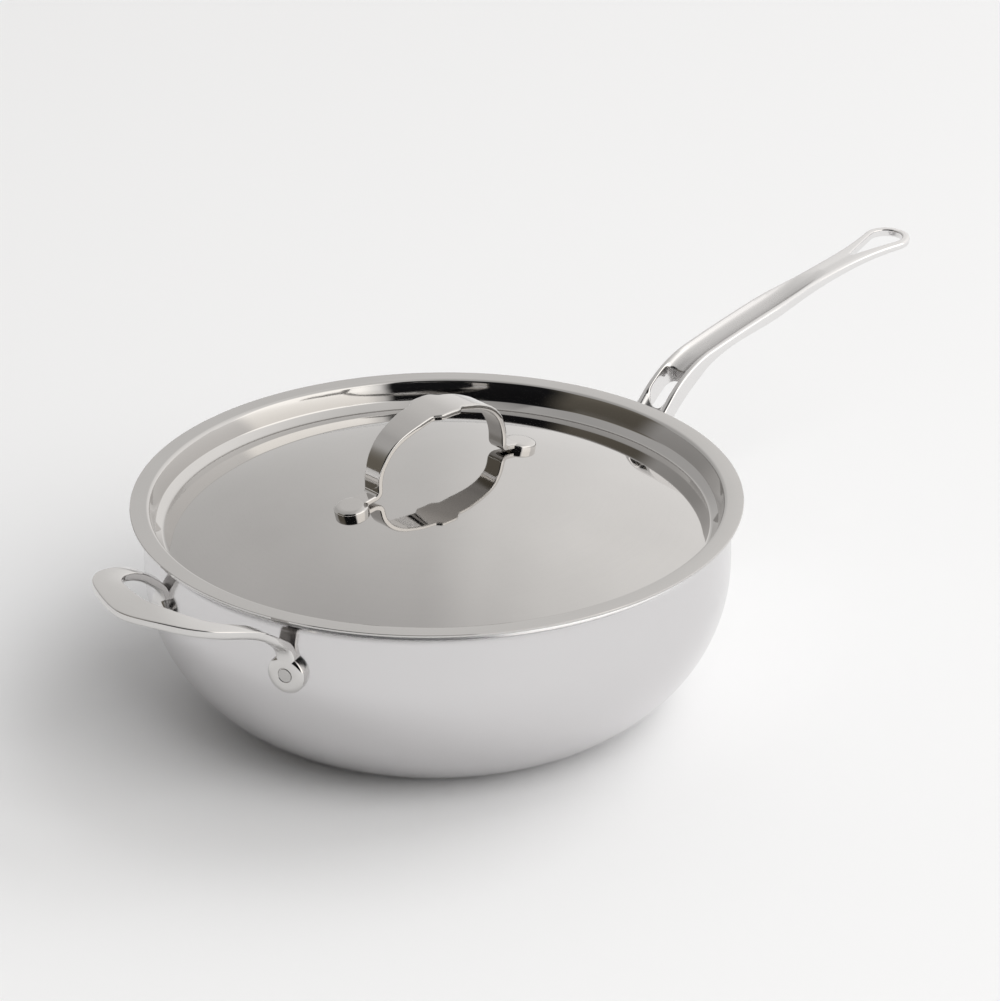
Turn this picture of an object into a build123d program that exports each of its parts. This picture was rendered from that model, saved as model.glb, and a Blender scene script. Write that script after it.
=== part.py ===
"""Covered deep saute pan, 28 cm, in polished and brushed stainless steel.

A clad pan with a long cast handle and a helper handle, and a stepped lid
with a strap handle. Millimetres, +Z up, origin at the centre of the base.
The long handle points along +X and the helper handle along -X.
"""
from build123d import *

import os
from math import asin, atan2, cos, degrees, radians, sin, tan

os.makedirs("parts", exist_ok=True)

# Pan body, measured on its outer face
wall_radius = 142.2        # straight part of the wall
rim_height = 103.3         # flat ground on the lip, where the lid lies
base_inset = 60.6          # the flat that stands on the hob ends this far inside the wall
heel_radius = 40.0         # turn out of the base
corner_radius = 76.0       # sweep into the wall
flare_radius = 5.5         # pouring lip
flare_angle = 75.0         # how far the lip turns outwards, degrees
lip_land = 0.45            # ground off the tip of the lip

# Clad sheet, from the outside in
outer_steel = 0.5
core_thickness = 1.7
inner_steel = 0.4
bond_gap = 0.02

# Lid, measured on its upper face
lid_overhang = 1.72        # past the tip of the pan's lip
lid_sheet = 1.2
flange_width = 9.3
collar_depth = 9.8         # first wall, down to the ledge
collar_draft = 2.5         # how far that wall leans inwards
ledge_width = 2.6
ledge_fall = 2.2
well_depth = 22.0          # lowest point of the lid, under the flange
well_run = 6.2             # how far the second wall leans inwards
crown_height = 11.5        # middle of the lid, over the flange
crown_curve = 597.0        # radius of the flat middle of the dome
crown_radius = 74.0        # where the dome starts to fall away
lid_bend = 1.9             # upper radius of the pressed corners
valley_bend = 1.6
lid_turn = -3.8            # how the lid happens to lie, degrees about Z

# Lid handle: a bent strap on two round pads
strap_pad_radius = 8.4
strap_pad_centre = 54.2
strap_pad_top = 12.3       # over the flange
strap_half_span = 39.8     # from the middle to a leg, on the strap's centre line
strap_height = 35.6        # from the pads' tops to the strap's centre line
strap_thickness = 3.0
strap_haunch = 24.0        # radius between the crown and a leg
strap_leg = 5.0            # straight part of a leg
strap_foot_bend = 3.2      # radius that turns a leg out into its pad
strap_foot_half = 4.4      # half widths of the strap, seen from above
strap_leg_half = 6.2
strap_middle_half = 8.6
strap_wing_half = 11.8
strap_wing_reach = 5.6     # half the length of the finger wings
strap_wing_slope = 3.4     # length over which a wing steps down to the strap
strap_shoulder = 17.0      # half the length of the strap's parallel middle
strap_blend = 3.0
strap_edge = 0.4
strap_pad_edge = 0.8

# Long handle, cast: its top line rises, bends over and levels out
handle_length = 210.4      # from the wall to the tip
root_thickness = 9.4
grip_thickness = 7.4       # just past the bend
waist_thickness = 5.6
tip_thickness = 4.0
root_height = 89.1         # where the top line meets the wall
root_slope = 45.0          # degrees
root_reach = 16.8          # straight root, outwards from the wall
bend_radius = 59.0
grip_slope = 10.5          # degrees, where the bend ends
tip_slope = 1.5            # degrees
root_half = 10.0           # half widths, seen from above
grip_half = 8.9
waist_half = 6.8
eye_radius = 12.5
eye_meet_angle = 105.0     # where the sides run into the eye, degrees from +X
shoulder_distance = 98.0   # from the wall to where the handle starts to narrow
waist_distance = 139.0
handle_edge = 1.6

# Hollow along the top of the long handle
channel_radius = 7.6
channel_depth = 3.9
channel_run = 45.0         # full depth, past the bend
channel_fade = 52.0        # from there to where it has run out

# Openings in the long handle
slot_length = 18.2
slot_width = 12.8
slot_corner = 4.6
slot_distance = 24.8       # from the wall to its middle
eye_hole_radius = 8.6
eye_point_radius = 1.3
eye_point_distance = 170.0

# Plate at the root of the long handle, with its three rivets
plate_thickness = 4.2
plate_lobe = 9.0
plate_upper_height = 79.0
plate_lower_height = 60.5
plate_spread = 6.4         # the upper rivets stand this far off the axis, degrees

# Helper handle, cast: a loop on two round pads
helper_turn = 2.1          # how far it stands off the long handle's line, degrees
loop_length = 55.6         # outermost edge, from the wall
loop_middle_width = 16.4
loop_arm_width = 9.3
loop_thickness = 4.3
loop_half_spread = 43.6    # arms' centre line at its widest, off the handle's line
loop_top = 112.6           # upper face at the middle
loop_neck_width = 9.8
loop_pad_radius = 9.55
loop_pad_thickness = 4.1
loop_pad_height = 74.9
loop_pad_angle = 18.0      # each pad stands this far off the handle's line, degrees
loop_root_rise = 3.6       # the neck starts this far over the pad's middle, inside the pad
loop_neck_rise = 7.6       # and bends over from here
loop_edge = 1.1
loop_pad_edge = 1.6

# Centre line of half the helper handle, from the neck's bend to the middle:
# share of the reach, of the half spread and of the rise; heading, then the
# slope of the strap's face and the side that it falls to, in degrees; share
# of the way from the arm's width to the middle's
loop_station_shares = (
    (0.012, 1.000, 0.165, 18.0, 68.0, 18.0, 0.00),
    (0.058, 1.000, 0.290, 16.0, 50.0, 16.0, 0.00),
    (0.155, 0.996, 0.440, 6.0, 38.0, 6.0, 0.00),
    (0.295, 0.985, 0.630, -3.0, 28.0, 0.0, 0.02),
    (0.490, 0.955, 0.785, -14.0, 17.0, 0.0, 0.14),
    (0.665, 0.875, 0.876, -38.0, 13.0, 0.0, 0.44),
    (0.800, 0.725, 0.935, -55.0, 10.0, 0.0, 0.68),
    (0.905, 0.465, 0.978, -70.0, 6.0, 0.0, 0.86),
    (0.972, 0.215, 0.997, -81.0, 2.0, 0.0, 0.97),
    (1.000, 0.000, 1.000, -90.0, 0.0, 0.0, 1.00),
)

# Rivets, flush with the handles outside and with a low flat head inside
rivet_radius = 3.35
rivet_head_radius = 5.6
rivet_head_height = 1.1
rivet_proud = 0.15
rivet_chamfer = 0.3
fit_gap = 0.05

# Every cut runs this far past the face that it opens
overrun = 5.0

# Worked out from the sizes above
base_radius = wall_radius - base_inset
clad_thickness = outer_steel + core_thickness + inner_steel + 2 * bond_gap
flange_top = rim_height + lid_sheet
heel_angle = degrees(asin((base_radius - wall_radius + corner_radius)
                          / (corner_radius - heel_radius)))
sweep_centre = wall_radius - corner_radius
wall_foot = (heel_radius * (1 - cos(radians(heel_angle)))
             + corner_radius * cos(radians(heel_angle)))
flare_start = (rim_height + lip_land
               - (flare_radius + clad_thickness) * sin(radians(flare_angle)))
flare_centre = wall_radius + flare_radius
lid_radius = flare_centre - flare_radius * cos(radians(flare_angle)) + lid_overhang
collar_radius = lid_radius - flange_width
well_radius = collar_radius - collar_draft - ledge_width - well_run


def lip_end(inset):
    """Where the lip's arc ends on a section line, inset from the outer face."""
    flare = flare_radius + inset
    return (flare_centre - flare * cos(radians(flare_angle)),
            flare_start + flare * sin(radians(flare_angle)))


def body_inside(inset):
    """All that lies within a section line, as a turned solid up to the rim.

    The arcs of every section line share their centres, so two such lines are
    parallel and the sheets between them keep their thickness.
    """
    tip = lip_end(clad_thickness + overrun)
    with BuildPart() as inside:
        with BuildSketch(Plane.XZ):
            with BuildLine():
                Line((0, inset), (base_radius, inset))
                CenterArc((base_radius, heel_radius), heel_radius - inset,
                          -90, heel_angle)
                CenterArc((sweep_centre, wall_foot), corner_radius - inset,
                          heel_angle - 90, 90 - heel_angle)
                Line((wall_radius - inset, wall_foot), (wall_radius - inset, flare_start))
                CenterArc((flare_centre, flare_start), flare_radius + inset,
                          180, -flare_angle)
                Polyline(lip_end(inset), tip, (0, tip[1]), (0, inset))
            make_face()
        revolve(axis=Axis.Z)
        split(bisect_by=Plane.XY.offset(rim_height), keep=Keep.BOTTOM)
    return inside.part


def outward_plane(angle, height, distance=0):
    """A plane that faces away from the pan's axis, its local X level."""
    across = radians(angle)
    return Plane(origin=(distance * cos(across), distance * sin(across), height),
                 x_dir=(-sin(across), cos(across), 0),
                 z_dir=(cos(across), sin(across), 0))


handle_rivets = ((plate_spread, plate_upper_height),
                 (-plate_spread, plate_upper_height),
                 (0, plate_lower_height))
helper_angle = 180 - helper_turn
helper_rivets = ((helper_angle - loop_pad_angle, loop_pad_height),
                 (helper_angle + loop_pad_angle, loop_pad_height))
inner_radius = wall_radius - clad_thickness


def rivet_bores(places):
    """Bores for rivets, out through the wall and the handle on it."""
    with BuildPart() as bores:
        for angle, height in places:
            with BuildSketch(outward_plane(angle, height, inner_radius - overrun)):
                Circle(rivet_radius + fit_gap)
            extrude(amount=clad_thickness + loop_pad_thickness + 2 * overrun)
    return bores.part


def clad_sheet(outer_face, thickness):
    """One sheet of the body, between two section lines, bored for the rivets."""
    with BuildPart() as sheet:
        add(body_inside(outer_face))
        add(body_inside(outer_face + thickness), mode=Mode.SUBTRACT)
        add(rivet_bores(handle_rivets + helper_rivets), mode=Mode.SUBTRACT)
    return sheet


def distance_out(edge):
    """How far an edge lies from the pan's axis, squared."""
    return edge.center().X ** 2 + edge.center().Y ** 2


def rivet(angle, height, outer_face):
    """A rivet across the wall, its head against the inside of the pan."""
    head_face = outward_plane(angle, height, inner_radius - rivet_head_height)
    with BuildPart() as pin:
        with BuildSketch(head_face):
            Circle(rivet_head_radius)
        extrude(amount=rivet_head_height + clad_thickness)
        chamfer(pin.edges().filter_by(GeomType.CIRCLE).sort_by(distance_out)[0],
                rivet_chamfer)
        add(body_inside(clad_thickness + fit_gap), mode=Mode.INTERSECT)
        with BuildSketch(head_face):
            Circle(rivet_radius)
        extrude(amount=outer_face + rivet_proud - inner_radius + rivet_head_height)
        chamfer(pin.edges().filter_by(GeomType.CIRCLE).sort_by(distance_out)[-1],
                rivet_chamfer)
    return pin


# Pan body: the three sheets of the clad wall
outer_skin = clad_sheet(0, outer_steel)
aluminium_core = clad_sheet(outer_steel + bond_gap, core_thickness)
inner_liner = clad_sheet(clad_thickness - inner_steel, inner_steel)

for name, sheet in (("outer_skin", outer_skin), ("aluminium_core", aluminium_core),
                    ("inner_liner", inner_liner)):
    sheet.part.label = name
    export_step(sheet.part, "parts/" + name + ".step")

# Long handle: side view cut by the view from above
tip_radius = wall_radius + handle_length
bend_start = (wall_radius + root_reach, root_height + root_reach * tan(radians(root_slope)))
bend_centre = (bend_start[0] + bend_radius * sin(radians(root_slope)),
               bend_start[1] - bend_radius * cos(radians(root_slope)))
bend_end_x = bend_centre[0] - bend_radius * sin(radians(grip_slope))
grip_radius = ((tip_radius - bend_end_x)
               / (sin(radians(grip_slope)) - sin(radians(tip_slope))))
grip_centre = (bend_end_x + grip_radius * sin(radians(grip_slope)),
               bend_centre[1] - (grip_radius - bend_radius) * cos(radians(grip_slope)))
eye_centre = tip_radius - eye_radius
waist_x = wall_radius + waist_distance
shoulder_x = wall_radius + shoulder_distance


def on_arc(centre, radius, slope):
    """A point of an arc where its tangent has a slope, in degrees."""
    return (centre[0] - radius * sin(radians(slope)), centre[1] + radius * cos(radians(slope)))


def root_point(depth):
    """Where the straight root starts, inside the wall, under the top line."""
    back = overrun + root_reach
    start = on_arc(bend_centre, bend_radius - depth, root_slope)
    return (start[0] - back, start[1] - back * tan(radians(root_slope)))


def under_grip(distance, depth):
    """A point under the grip's top line, at a distance from the wall."""
    rise = (grip_centre[0] - wall_radius - distance) / grip_radius
    return on_arc(grip_centre, grip_radius - depth, degrees(asin(rise)))


with BuildPart() as long_handle:
    with BuildSketch(Plane.XZ):
        with BuildLine():
            Line(root_point(0), on_arc(bend_centre, bend_radius, root_slope))
            CenterArc(bend_centre, bend_radius, 90 + root_slope, grip_slope - root_slope)
            CenterArc(grip_centre, grip_radius, 90 + grip_slope, tip_slope - grip_slope)
            below = Line(root_point(root_thickness),
                         on_arc(bend_centre, bend_radius - root_thickness, root_slope))
            Spline(below @ 1, under_grip(bend_end_x - wall_radius, grip_thickness),
                   under_grip(waist_distance, waist_thickness),
                   under_grip(handle_length, tip_thickness),
                   tangents=((cos(radians(root_slope)), sin(radians(root_slope))),
                             (cos(radians(tip_slope)), sin(radians(tip_slope)))))
            Line(root_point(0), root_point(root_thickness))
            Line(under_grip(handle_length, 0), under_grip(handle_length, tip_thickness))
        make_face()
    extrude(amount=2 * eye_radius, both=True)
    with BuildSketch(Plane.XY):
        with BuildLine():
            inner_end = wall_radius - 2 * overrun - root_reach
            root_side = Line((inner_end, root_half), (wall_radius, root_half))
            side = Polyline(root_side @ 1, (bend_end_x, grip_half), (shoulder_x, grip_half))
            meet = radians(eye_meet_angle)
            eye_meet = (eye_centre + eye_radius * cos(meet), eye_radius * sin(meet))
            Spline(side @ 1, (waist_x, waist_half), eye_meet,
                   tangents=((1, 0), (1, 0), (sin(meet), -cos(meet))))
            CenterArc((eye_centre, 0), eye_radius, eye_meet_angle, -eye_meet_angle)
            Line(root_side @ 0, (inner_end, 0))
            mirror(about=Plane.XZ)
        make_face()
    extrude(amount=2 * flange_top, mode=Mode.INTERSECT)
    fillet(long_handle.edges(), handle_edge)

# Channel along the top, from the root to where it runs out
run_slope = degrees(asin(sin(radians(grip_slope)) - channel_run / grip_radius))
fade_slope = degrees(asin(sin(radians(run_slope)) - channel_fade / grip_radius))
lift = channel_radius - channel_depth
with BuildLine(Plane.XZ) as channel_path:
    Line((root_point(-lift)), on_arc(bend_centre, bend_radius + lift, root_slope))
    CenterArc(bend_centre, bend_radius + lift, 90 + root_slope, grip_slope - root_slope)
    run = CenterArc(grip_centre, grip_radius + lift, 90 + grip_slope, run_slope - grip_slope)
    TangentArc(run @ 1, on_arc(grip_centre, grip_radius + channel_radius, fade_slope),
               tangent=run % 1)

with BuildPart() as channel:
    with BuildSketch(Plane(origin=channel_path.wire() @ 0, z_dir=channel_path.wire() % 0)):
        Circle(channel_radius)
    sweep(path=channel_path.wire())

# Riveting plate, two lobes over one
with BuildPart() as root_plate:
    with BuildSketch(outward_plane(0, 0, inner_radius / 2)):
        for angle, height in handle_rivets:
            with Locations((wall_radius * sin(radians(angle)), height)):
                Circle(plate_lobe)
        make_hull()
    extrude(amount=wall_radius)
    with BuildSketch(Plane.XY):
        Circle(wall_radius + plate_thickness)
    extrude(amount=flange_top, mode=Mode.INTERSECT)

with BuildPart() as handle:
    add(long_handle.part)
    add(root_plate.part)
    add(channel.part, mode=Mode.SUBTRACT)
    with BuildSketch(Plane.XY):
        with Locations((wall_radius + slot_distance, 0)):
            RectangleRounded(slot_length, slot_width, slot_corner)
    extrude(amount=2 * flange_top, mode=Mode.SUBTRACT)
    with BuildSketch(Plane.XY):
        with Locations((eye_centre, 0)):
            Circle(eye_hole_radius)
        with Locations((wall_radius + eye_point_distance, 0)):
            Circle(eye_point_radius)
        make_hull()
    extrude(amount=2 * flange_top, mode=Mode.SUBTRACT)
    add(body_inside(-fit_gap), mode=Mode.SUBTRACT)
    add(rivet_bores(handle_rivets), mode=Mode.SUBTRACT)

handle.part.label = "long_handle"
export_step(handle.part, "parts/long_handle.step")

# Helper handle: half the loop is a loft along its centre line
pad_face = wall_radius + loop_pad_thickness
neck_radius = wall_radius + loop_thickness / 2
loop_mid_x = wall_radius + loop_length - loop_middle_width / 2
loop_neck_height = loop_pad_height + loop_neck_rise
loop_rise = loop_top - loop_thickness / 2 - loop_neck_height


def strap_plane(x, y, z, heading, slope, side):
    """A plane across the helper's strap, its local X across the strap's face."""
    ahead = Vector(-cos(radians(heading)), sin(radians(heading)), 0)
    uphill = Vector(-cos(radians(side)), sin(radians(side)), 0)
    face = Vector(0, 0, cos(radians(slope))) - uphill * sin(radians(slope))
    along = (ahead * cos(radians(slope))
             + Vector(0, 0, sin(radians(slope)) * ahead.dot(uphill)))
    return Plane(origin=(-x, y, z), x_dir=face.cross(along), z_dir=along)


with BuildPart() as loop_pad:
    with BuildSketch(outward_plane(180 - loop_pad_angle, loop_pad_height, inner_radius)):
        Circle(loop_pad_radius)
    extrude(amount=pad_face - inner_radius)
    fillet(loop_pad.edges().filter_by(GeomType.CIRCLE).sort_by(distance_out)[-1],
           loop_pad_edge)

with BuildPart() as helper_handle:
    pad_turn = radians(loop_pad_angle)
    neck = (neck_radius * cos(pad_turn), neck_radius * sin(pad_turn))
    for height in (loop_pad_height + loop_root_rise, loop_neck_height):
        with BuildSketch(strap_plane(neck[0], neck[1], height,
                                     loop_pad_angle, 90, loop_pad_angle)):
            RectangleRounded(loop_neck_width, loop_thickness, loop_edge)
    for out, spread, rise, heading, slope, side, widening in loop_station_shares:
        place = strap_plane(neck[0] + out * (loop_mid_x - neck[0]),
                            spread * loop_half_spread,
                            loop_neck_height + rise * loop_rise, heading, slope, side)
        width = loop_arm_width + widening * (loop_middle_width - loop_arm_width)
        with BuildSketch(place):
            RectangleRounded(width, loop_thickness, loop_edge)
    loft()
    add(loop_pad.part)
    mirror(about=Plane.XZ)

with BuildPart() as helper:
    add(helper_handle.part.rotate(Axis.Z, -helper_turn))
    add(body_inside(-fit_gap), mode=Mode.SUBTRACT)
    add(rivet_bores(helper_rivets), mode=Mode.SUBTRACT)

helper.part.label = "helper_handle"
export_step(helper.part, "parts/helper_handle.step")

# Rivets
rivet_names = ("handle_rivet_left", "handle_rivet_right", "handle_rivet_lower",
               "helper_rivet_left", "helper_rivet_right")
for name, (angle, height) in zip(rivet_names, handle_rivets + helper_rivets):
    face = wall_radius + (plate_thickness if (angle, height) in handle_rivets
                          else loop_pad_thickness)
    pin = rivet(angle, height, face)
    pin.part.label = name
    export_step(pin.part, "parts/" + name + ".step")

# Lid: one pressed sheet, turned about the axis
dome_slope = degrees(asin(crown_radius / crown_curve))
crown_centre = flange_top + crown_height - crown_curve
well_bottom = flange_top - well_depth
shoulder_start = (crown_radius, crown_centre + crown_curve * cos(radians(dome_slope)))
with BuildPart() as lid:
    with BuildSketch(Plane.XZ):
        with BuildLine() as upper_face:
            Line((lid_radius, flange_top), (collar_radius, flange_top))
            Line((collar_radius, flange_top),
                 (collar_radius - collar_draft, flange_top - collar_depth))
            Line((collar_radius - collar_draft, flange_top - collar_depth),
                 (collar_radius - collar_draft - ledge_width,
                  flange_top - collar_depth - ledge_fall))
            Line((collar_radius - collar_draft - ledge_width,
                  flange_top - collar_depth - ledge_fall), (well_radius, well_bottom))
            TangentArc(shoulder_start, (well_radius, well_bottom),
                       tangent=(cos(radians(dome_slope)), -sin(radians(dome_slope))))
            CenterArc((0, crown_centre), crown_curve, 90 - dome_slope, dome_slope)
            fillet(upper_face.vertices().filter_by(
                lambda corner: abs(corner.X - well_radius) < fit_gap), valley_bend)
            fillet(upper_face.vertices().filter_by(
                lambda corner: well_radius + valley_bend * 2 < corner.X < lid_radius - fit_gap),
                lid_bend)
            offset(amount=lid_sheet, side=Side.LEFT)
        make_face()
    revolve(axis=Axis.Z)

lid.part.label = "lid"
export_step(lid.part, "parts/lid.step")

# Lid handle: arch cut by its outline from above, on two pads
along = (cos(radians(lid_turn)), sin(radians(lid_turn)), 0)
lid_side = Plane(origin=(0, 0, flange_top + strap_pad_top), x_dir=along,
                 z_dir=(along[1], -along[0], 0))
lid_above = Plane(origin=(0, 0, flange_top + strap_pad_top), x_dir=along, z_dir=(0, 0, 1))
foot_level = -strap_thickness / 2
crown_rise = strap_height - foot_level - strap_foot_bend - strap_leg
crown_turn = 2 * degrees(atan2(crown_rise - strap_haunch, strap_half_span - strap_haunch))
crown_arc = (strap_haunch
             + (strap_half_span - strap_haunch) / sin(radians(crown_turn)))
leg_top = foot_level + strap_foot_bend + strap_leg
with BuildPart() as strap:
    with BuildLine(lid_side) as strap_path:
        Line((strap_pad_centre, foot_level), (strap_half_span + strap_foot_bend, foot_level))
        CenterArc((strap_half_span + strap_foot_bend, foot_level + strap_foot_bend),
                  strap_foot_bend, -90, -90)
        Line((strap_half_span, foot_level + strap_foot_bend), (strap_half_span, leg_top))
        CenterArc((strap_half_span - strap_haunch, leg_top), strap_haunch,
                  0, 90 - crown_turn)
        CenterArc((0, strap_height - crown_arc), crown_arc, 90 - crown_turn, crown_turn)
    with BuildSketch(Plane(origin=strap_path.wire() @ 0, x_dir=lid_side.z_dir,
                           z_dir=strap_path.wire() % 0)):
        Rectangle(2 * strap_wing_half, strap_thickness)
    sweep(path=strap_path.wire())
    mirror(about=Plane(origin=(0, 0, 0), z_dir=along))
    with BuildSketch(lid_above.offset(foot_level - strap_thickness)) as from_above:
        with BuildLine():
            Polyline((0, strap_wing_half), (strap_wing_reach, strap_wing_half),
                     (strap_wing_reach + strap_wing_slope, strap_middle_half),
                     (strap_shoulder, strap_middle_half),
                     (strap_half_span - strap_foot_bend, strap_leg_half),
                     (strap_half_span + strap_foot_bend, strap_foot_half),
                     (strap_pad_centre, strap_foot_half), (strap_pad_centre, 0))
            mirror(about=Plane.YZ)
            mirror(about=Plane.XZ)
        make_face()
        fillet(from_above.vertices().filter_by(
            lambda corner: 0 < corner.X ** 2 < strap_half_span ** 2), strap_blend)
    extrude(amount=strap_height + overrun, mode=Mode.INTERSECT)
    fillet(strap.edges().filter_by(Axis((0, 0, 0), lid_side.z_dir), reverse=True),
           strap_edge)

with BuildPart() as lid_handle:
    with BuildSketch(lid_above):
        with Locations((strap_pad_centre, 0), (-strap_pad_centre, 0)):
            Circle(strap_pad_radius)
    extrude(amount=-(strap_pad_top - crown_height) - overrun)
    fillet(lid_handle.edges().group_by(Axis.Z)[-1], strap_pad_edge)
    add(strap.part)
    with Locations((0, 0, crown_centre)):
        Sphere(crown_curve + fit_gap, mode=Mode.SUBTRACT)

lid_handle.part.label = "lid_handle"
export_step(lid_handle.part, "parts/lid_handle.step")
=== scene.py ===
"""Covered saute pan in polished and brushed stainless steel, on a pale floor.

Metres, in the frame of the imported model: +Z up, the long handle along +X.
"""
import bpy
import bmesh
import numpy as np
from math import asin, atan2, cos, pi, radians, sin, tan
from mathutils import Matrix, Vector
from mathutils.geometry import delaunay_2d_cdt


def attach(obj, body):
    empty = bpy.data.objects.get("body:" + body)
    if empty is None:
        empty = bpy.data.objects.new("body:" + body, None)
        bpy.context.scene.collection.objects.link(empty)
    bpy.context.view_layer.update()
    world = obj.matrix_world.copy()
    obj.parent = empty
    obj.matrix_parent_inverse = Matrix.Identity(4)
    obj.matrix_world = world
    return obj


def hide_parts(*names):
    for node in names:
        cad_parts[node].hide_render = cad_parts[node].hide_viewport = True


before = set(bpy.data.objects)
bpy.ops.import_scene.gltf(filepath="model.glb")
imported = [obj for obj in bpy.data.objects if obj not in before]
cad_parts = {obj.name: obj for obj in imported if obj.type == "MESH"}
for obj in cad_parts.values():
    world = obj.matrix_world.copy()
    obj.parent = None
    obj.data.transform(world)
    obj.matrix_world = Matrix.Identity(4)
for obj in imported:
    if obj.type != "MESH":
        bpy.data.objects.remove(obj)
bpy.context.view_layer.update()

# Clad body: an aluminium sheet between two of stainless steel, pressed into a
# deep bowl with a flared pouring lip. The lip is ground flat, so the three
# sheets show there as rings. Outside and inside are brushed round the axis.
wall_radius = 0.1422
base_radius = 0.0816
heel_radius = 0.040
corner_radius = 0.076
flare_radius = 0.0055
flare_angle = radians(75)
rim_height = 0.1033
lip_ground_off = 0.00045
outer_steel = 0.0005
core_thickness = 0.0017
inner_steel = 0.0004
bond_gap = 0.00002
clad_thickness = outer_steel + core_thickness + inner_steel + 2 * bond_gap
heel_angle = asin((base_radius - wall_radius + corner_radius) / (corner_radius - heel_radius))
sweep_centre = wall_radius - corner_radius
wall_foot = heel_radius * (1 - cos(heel_angle)) + corner_radius * cos(heel_angle)
flare_start = rim_height + lip_ground_off - (flare_radius + clad_thickness) * sin(flare_angle)
flare_centre = wall_radius + flare_radius


def arc(centre, radius, start, turn, steps):
    """Points centre + radius * (cos a, sin a), with a from start to start + turn."""
    angle = start + np.linspace(0, turn, steps)
    return np.column_stack([centre[0] + radius * np.cos(angle), centre[1] + radius * np.sin(angle)])


def solid(name, points, faces, sharp=32):
    """A closed piece from arrays of points and faces, smooth up to a fold of so many degrees."""
    mesh = bpy.data.meshes.new(name)
    mesh.from_pydata(points.reshape(-1, 3).tolist(), [], [list(face) for face in faces])
    work = bmesh.new()
    work.from_mesh(mesh)
    bmesh.ops.remove_doubles(work, verts=work.verts, dist=1e-7)
    bmesh.ops.recalc_face_normals(work, faces=work.faces)
    work.to_mesh(mesh)
    work.free()
    mesh.shade_smooth()
    mesh.set_sharp_from_angle(angle=radians(sharp))
    piece = bpy.data.objects.new(name, mesh)
    bpy.context.scene.collection.objects.link(piece)
    return piece


def grid_faces(rows, columns, wrap_rows, wrap_columns):
    """Quads of a rows x columns grid of points, joined round where a direction wraps."""
    row = np.arange(rows if wrap_rows else rows - 1)[:, None]
    column = np.arange(columns if wrap_columns else columns - 1)[None, :]
    next_row, next_column = (row + 1) % rows, (column + 1) % columns
    return np.stack([row * columns + column, row * columns + next_column,
                     next_row * columns + next_column, next_row * columns + column],
                    axis=-1).reshape(-1, 4)


def turned(name, line, around=256, sharp=32):
    """A closed section line of (r, z) turned about Z: (r cos a, r sin a, z)."""
    angle = np.arange(around) * 2 * pi / around
    points = np.stack([line[:, :1] * np.cos(angle), line[:, :1] * np.sin(angle),
                       np.repeat(line[:, 1:], around, axis=1)], axis=-1)
    return solid(name, points, grid_faces(len(line), around, True, True), sharp)


def section_line(inset):
    """The body's outer section line moved inwards: base, heel, sweep, wall, lip."""
    end = min(flare_angle, asin(min(1, (rim_height - flare_start) / (flare_radius + inset))))
    return np.vstack([
        np.column_stack([np.linspace(0, base_radius, 8)[:-1], np.full(7, inset)]),
        arc((base_radius, heel_radius), heel_radius - inset, -pi / 2, heel_angle, 14)[:-1],
        arc((sweep_centre, wall_foot), corner_radius - inset,
            heel_angle - pi / 2, pi / 2 - heel_angle, 30),
        np.column_stack([np.full(5, wall_radius - inset),
                         np.linspace(wall_foot, flare_start, 7)[1:-1]]),
        arc((flare_centre, flare_start), flare_radius + inset, pi, -end, 16)])


body_sheets = {}
for layer, inset, thickness, layer_slot in (
        ("outer_skin", 0, outer_steel, "brushed_body"),
        ("aluminium_core", outer_steel + bond_gap, core_thickness, "core_aluminium"),
        ("inner_liner", clad_thickness - inner_steel, inner_steel, "liner_steel")):
    sheet = turned("pan_" + layer, np.vstack([section_line(inset),
                                              section_line(inset + thickness)[::-1]]))
    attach(sheet, "pan")
    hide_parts(layer)
    body_sheets[layer] = sheet


def group(name, inputs, outputs):
    """An empty node group with named sockets: (name, kind, default value)."""
    tree = bpy.data.node_groups.new(name, "ShaderNodeTree")
    for label, kind, value in inputs:
        socket = tree.interface.new_socket(label, in_out="INPUT", socket_type=kind)
        if value is not None:
            socket.default_value = value
    for label, kind in outputs:
        tree.interface.new_socket(label, in_out="OUTPUT", socket_type=kind)
    return tree, tree.nodes.new("NodeGroupInput"), tree.nodes.new("NodeGroupOutput")


def node(tree, kind, settings=None, **inputs):
    """A node with its settings, whose inputs are values or other nodes' outputs."""
    made = tree.nodes.new("ShaderNode" + kind)
    for key, value in (settings or {}).items():
        setattr(made, key, value)
    for key, value in inputs.items():
        place = int(key[1:]) if key[0] == "i" and key[1:].isdigit() else key.replace("_", " ")
        if isinstance(value, bpy.types.NodeSocket):
            tree.links.new(value, made.inputs[place])
        else:
            made.inputs[place].default_value = value
    return made


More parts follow.
